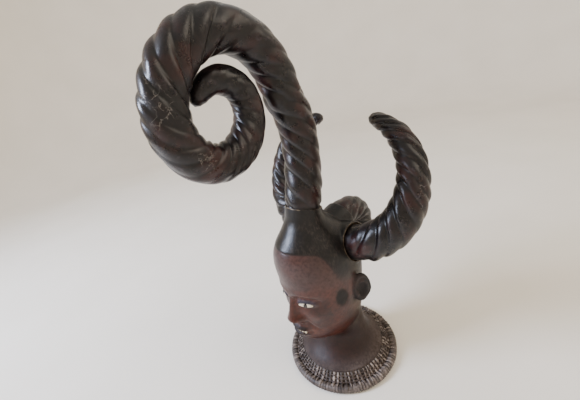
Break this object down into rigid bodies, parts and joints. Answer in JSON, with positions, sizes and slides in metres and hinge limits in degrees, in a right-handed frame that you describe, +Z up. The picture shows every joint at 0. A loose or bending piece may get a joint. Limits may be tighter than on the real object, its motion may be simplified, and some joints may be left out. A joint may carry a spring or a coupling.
{
  "type": "carved wooden crest mask",
  "caption": "Carved wooden crest mask: a skin-covered head with coiled, hooked and rear horns on pegs, standing on a basketry cap with a bound rim.",
  "frame": {"origin": "on the table, under the middle of the whole mask's box; the rim's centre is 48.8 mm behind it (+Y)", "axes": "+Z up along the neck, -Y the way the face looks, +X the mask's own left"},
  "size_m": [0.3254, 0.348, 0.6385],
  "materials": {
    "carved_wood": "matt, adzed",
    "head_leather": "stretched skin, stained and rubbed to a satin gloss",
    "horn_leather": "stretched skin, near black, glossy on the ridges",
    "cane": "split cane and palm rib, dusty matt",
    "pale_inlay": "pale wood and cane slips, worn smooth",
    "dark_peg": "blackened peg, satin"
  },
  "bodies": {
    "mask": {"basket_cap": "cane", "foot_peg_1": "carved_wood", "foot_peg_2": "carved_wood", "foot_peg_3": "carved_wood", "foot_peg_4": "carved_wood", "rim_binding": "cane", "rim_hoop": "cane", "weft_1": "cane", "weft_2": "cane", "weft_3": "cane", "stake_01": "cane", "stake_02": "cane", "stake_03": "cane", "stake_04": "cane", "stake_05": "cane", "stake_06": "cane", "stake_07": "cane", "stake_08": "cane", "stake_09": "cane", "stake_10": "cane", "stake_11": "cane", "stake_12": "cane", "stake_13": "cane", "stake_14": "cane", "stake_15": "cane", "stake_16": "cane", "stake_17": "cane", "stake_18": "cane", "stake_19": "cane", "stake_20": "cane", "stake_21": "cane", "stake_22": "cane", "stake_23": "cane", "stake_24": "cane", "left_eye": "pale_inlay", "left_pupil": "dark_peg", "right_eye": "pale_inlay", "right_pupil": "dark_peg", "teeth_strip": "pale_inlay", "head_core": "carved_wood", "head_skin": "head_leather"},
    "front_horn": {"front_horn_core": "carved_wood", "front_horn_skin": "horn_leather", "front_horn_peg": "carved_wood"},
    "left_horn": {"left_horn_core": "carved_wood", "left_horn_skin": "horn_leather", "left_horn_peg": "carved_wood"},
    "right_horn": {"right_horn_core": "carved_wood", "right_horn_skin": "horn_leather", "right_horn_peg": "carved_wood"},
    "rear_horn": {"rear_horn_core": "carved_wood", "rear_horn_skin": "horn_leather", "rear_horn_peg": "carved_wood"}
  },
  "joints": [
    {"name": "front_horn_pull", "type": "slide", "parent": "mask", "child": "front_horn", "axis": [-0.0082, 0.2994, 0.9541], "range_m": [0, 0.05]},
    {"name": "left_horn_pull", "type": "slide", "parent": "mask", "child": "left_horn", "axis": [0.9712, 0.0815, 0.2239], "range_m": [0, 0.04]},
    {"name": "right_horn_pull", "type": "slide", "parent": "mask", "child": "right_horn", "axis": [-0.9704, 0.0825, 0.2268], "range_m": [0, 0.04]},
    {"name": "rear_horn_pull", "type": "slide", "parent": "mask", "child": "rear_horn", "axis": [0, 0.9605, 0.2781], "range_m": [0, 0.038]}
  ]
}
